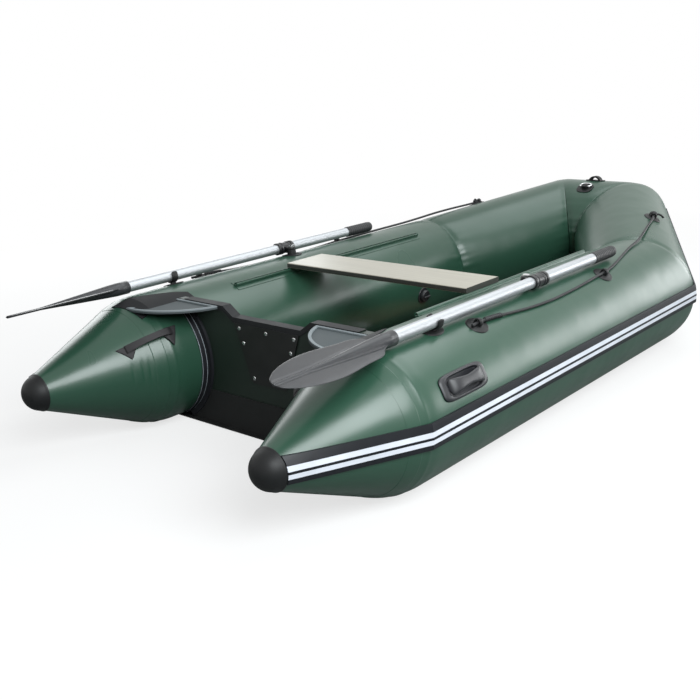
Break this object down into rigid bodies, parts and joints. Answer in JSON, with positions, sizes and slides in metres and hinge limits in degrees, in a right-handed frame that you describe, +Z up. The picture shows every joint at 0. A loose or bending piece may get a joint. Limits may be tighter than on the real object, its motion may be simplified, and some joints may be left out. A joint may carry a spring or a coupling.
{
  "type": "inflatable dinghy",
  "caption": "Inflatable dinghy with side tubes, a raised bow, a rigid transom for a motor, a sliding seat and stowed oars in swivelling oarlocks.",
  "frame": {"origin": "centre of the hull's length and width, at the lowest line of the side tubes", "axes": "+X starboard, +Y towards the bow, +Z up"},
  "size_m": [1.2608, 2.6036, 0.5062],
  "materials": {
    "tube_fabric": "satin",
    "cap_rubber": "satin",
    "rail_black": "satin",
    "rail_white": "satin",
    "board_paint": "satin",
    "board_edge": "satin",
    "plate_black": "matte",
    "screw_steel": "satin",
    "holder_rubber": "satin",
    "fairing_rubber": "satin",
    "gusset_grey": "satin",
    "bottom_fabric": "matte",
    "floor_ply": "satin",
    "joiner_alu": "satin",
    "seat_ply": "satin",
    "track_pvc": "satin",
    "slider_alu": "satin",
    "fitting_rubber": "satin",
    "webbing": "matte",
    "rope": "matte",
    "valve_plastic": "satin",
    "lock_plastic": "satin",
    "pin_chrome": "polished",
    "ring_chrome": "polished",
    "blade_plastic": "satin",
    "shaft_alu": "satin",
    "grip_rubber": "matte"
  },
  "bodies": {
    "hull": {"side_tube_starboard": "tube_fabric", "side_tube_port": "tube_fabric", "bow_tube_starboard": "tube_fabric", "bow_tube_port": "tube_fabric", "bow_tube_front": "tube_fabric", "cone_cap_starboard": "cap_rubber", "cone_cap_port": "cap_rubber", "rub_rail": "rail_black", "rail_inlays": "rail_white", "transom_board": "board_paint", "transom_channel": "board_edge", "motor_plate": "plate_black", "inner_plate": "plate_black", "plate_screws": "screw_steel", "transom_holder_starboard": "holder_rubber", "transom_holder_port": "holder_rubber", "transom_fairings": "fairing_rubber", "transom_gussets": "gusset_grey", "bottom_sheet": "bottom_fabric", "floor_board_1": "floor_ply", "floor_board_2": "floor_ply", "floor_board_3": "floor_ply", "floor_joiners": "joiner_alu", "seat_track_starboard": "track_pvc", "seat_track_port": "track_pvc", "eyelets": "fitting_rubber", "eyelet_pads": "fitting_rubber", "oarlock_bases": "fitting_rubber", "side_handle_starboard": "fitting_rubber", "side_handle_port": "fitting_rubber", "oar_clip_starboard": "fitting_rubber", "oar_clip_port": "fitting_rubber", "bow_pad": "fitting_rubber", "bow_handle": "fitting_rubber", "strap_handle_starboard": "webbing", "strap_handle_port": "webbing", "lifeline_starboard": "rope", "lifeline_port": "rope", "valves": "valve_plastic", "oarlock_pins": "pin_chrome"},
    "seat": {"seat": "seat_ply", "seat_slider_starboard": "slider_alu", "seat_slider_port": "slider_alu"},
    "lock_starboard": {"oarlock_starboard": "lock_plastic"},
    "oar_starboard": {"oar_blade_starboard": "blade_plastic", "oar_shaft_lower_starboard": "shaft_alu", "oar_shaft_upper_starboard": "shaft_alu", "oar_collars_starboard": "lock_plastic", "oar_grip_starboard": "grip_rubber"},
    "valve_cap_starboard": {"valve_cap_starboard": "valve_plastic"},
    "lock_port": {"oarlock_port": "lock_plastic"},
    "oar_port": {"oar_blade_port": "blade_plastic", "oar_shaft_lower_port": "shaft_alu", "oar_shaft_upper_port": "shaft_alu", "oar_collars_port": "lock_plastic", "oar_grip_port": "grip_rubber"},
    "valve_cap_port": {"valve_cap_port": "valve_plastic"},
    "valve_cap_bow": {"valve_cap_bow": "valve_plastic"},
    "tow_ring": {"bow_ring": "ring_chrome"}
  },
  "joints": [
    {"name": "seat_slide", "type": "slide", "parent": "hull", "child": "seat", "axis": [0, 1, 0], "range_m": [-0.25, 0.55]},
    {"name": "oar_swing_starboard", "type": "hinge", "parent": "hull", "child": "lock_starboard", "pos_m": [0.4551, -0.23112, 0.4024], "axis": [0.1045, 0, 0.9945], "range_deg": [0, 125], "deforming": ["oar_clip_starboard"]},
    {"name": "oar_feather_starboard", "type": "hinge", "parent": "lock_starboard", "child": "oar_starboard", "pos_m": [0.4909, -0.23112, 0.39864], "axis": [0, 1, 0], "range_deg": [-25, 25]},
    {"name": "oar_swing_port", "type": "hinge", "parent": "hull", "child": "lock_port", "pos_m": [-0.4551, -0.23112, 0.4024], "axis": [0.1045, 0, -0.9945], "range_deg": [0, 125], "deforming": ["oar_clip_port"]},
    {"name": "oar_feather_port", "type": "hinge", "parent": "lock_port", "child": "oar_port", "pos_m": [-0.4909, -0.23112, 0.39864], "axis": [0, 1, 0], "range_deg": [-25, 25]},
    {"name": "tow_ring_swing", "type": "hinge", "parent": "hull", "child": "tow_ring", "pos_m": [0, 1.01862, 0.47664], "axis": [1, 0, 0], "range_deg": [0, 150]},
    {"name": "valve_cap_turn_starboard", "type": "hinge", "parent": "hull", "child": "valve_cap_starboard", "pos_m": [0.24734, 0.23888, 0.16028], "axis": [-0.9877, 0, -0.1564], "range_deg": [0, 90]},
    {"name": "valve_cap_turn_port", "type": "hinge", "parent": "hull", "child": "valve_cap_port", "pos_m": [-0.24734, 0.23888, 0.16028], "axis": [0.9877, 0, -0.1564], "range_deg": [0, 90]},
    {"name": "valve_cap_turn_bow", "type": "hinge", "parent": "hull", "child": "valve_cap_bow", "pos_m": [0.12302, 0.73001, 0.20264], "axis": [-0.866, -0.4592, -0.1979], "range_deg": [0, 90]}
  ]
}
